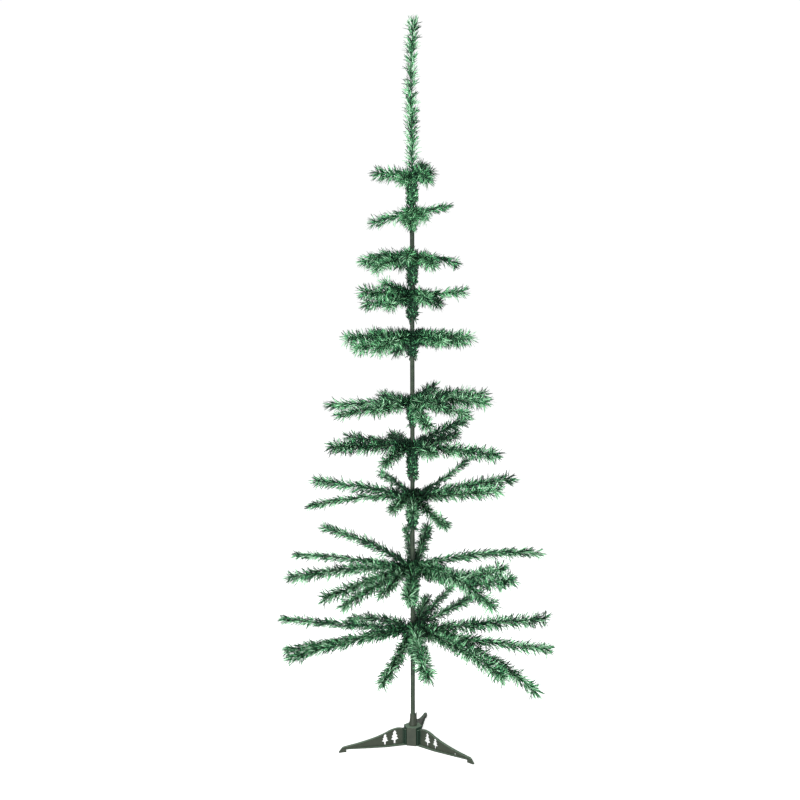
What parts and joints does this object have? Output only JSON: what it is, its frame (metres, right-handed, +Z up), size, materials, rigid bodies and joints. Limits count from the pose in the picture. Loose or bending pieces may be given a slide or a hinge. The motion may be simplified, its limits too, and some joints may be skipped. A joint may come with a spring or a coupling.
{
  "type": "artificial christmas tree",
  "caption": "Slim artificial Christmas tree of sparse tinsel boughs wired to a thin pole, with an upright tinsel leader, on a three-legged plastic stand pierced with small firs.",
  "frame": {"origin": "on the floor under the axis of the pole, at the flat underside of the stand's hub", "axes": "+Z up along the pole to the leader's tip; -Y towards the front; +X to the right as seen from the front"},
  "size_m": [0.5774, 0.5379, 1.5],
  "materials": {
    "tinsel": "green film tinsel needles, slightly glossy",
    "pole_paint": "satin olive-brown paint",
    "stand_plastic": "satin moulded plastic, olive green"
  },
  "bodies": {
    "root": {"bough_07_01": "tinsel", "bough_07_02": "tinsel", "bough_07_03": "tinsel", "bough_07_04": "tinsel", "bough_07_05": "tinsel", "bough_07_06": "tinsel", "bough_07_07": "tinsel", "bough_07_08": "tinsel", "bough_08_01": "tinsel", "bough_08_02": "tinsel", "bough_08_03": "tinsel", "bough_08_04": "tinsel", "bough_08_05": "tinsel", "bough_08_06": "tinsel", "bough_08_07": "tinsel", "bough_08_08": "tinsel", "bough_08_09": "tinsel", "bough_09_01": "tinsel", "bough_09_02": "tinsel", "bough_09_03": "tinsel", "bough_09_04": "tinsel", "bough_09_05": "tinsel", "bough_09_06": "tinsel", "bough_09_07": "tinsel", "bough_09_08": "tinsel", "bough_09_09": "tinsel", "bough_09_10": "tinsel", "bough_09_11": "tinsel", "bough_09_12": "tinsel", "bough_09_13": "tinsel", "bough_10_01": "tinsel", "bough_10_02": "tinsel", "bough_10_03": "tinsel", "bough_10_04": "tinsel", "bough_10_05": "tinsel", "bough_10_06": "tinsel", "bough_10_07": "tinsel", "bough_10_08": "tinsel", "bough_10_09": "tinsel", "bough_10_10": "tinsel", "bough_10_11": "tinsel", "bough_10_12": "tinsel", "bough_10_13": "tinsel", "leader": "tinsel", "pole": "pole_paint", "stand_hub": "stand_plastic", "stand_leg_back": "stand_plastic", "stand_leg_left": "stand_plastic", "stand_leg_right": "stand_plastic", "whorl_01": "tinsel", "whorl_02": "tinsel", "whorl_03": "tinsel", "whorl_04": "tinsel", "whorl_05": "tinsel", "whorl_06": "tinsel", "wrap_07": "tinsel", "wrap_08": "tinsel", "wrap_09": "tinsel", "wrap_10": "tinsel"}
  },
  "joints": []
}
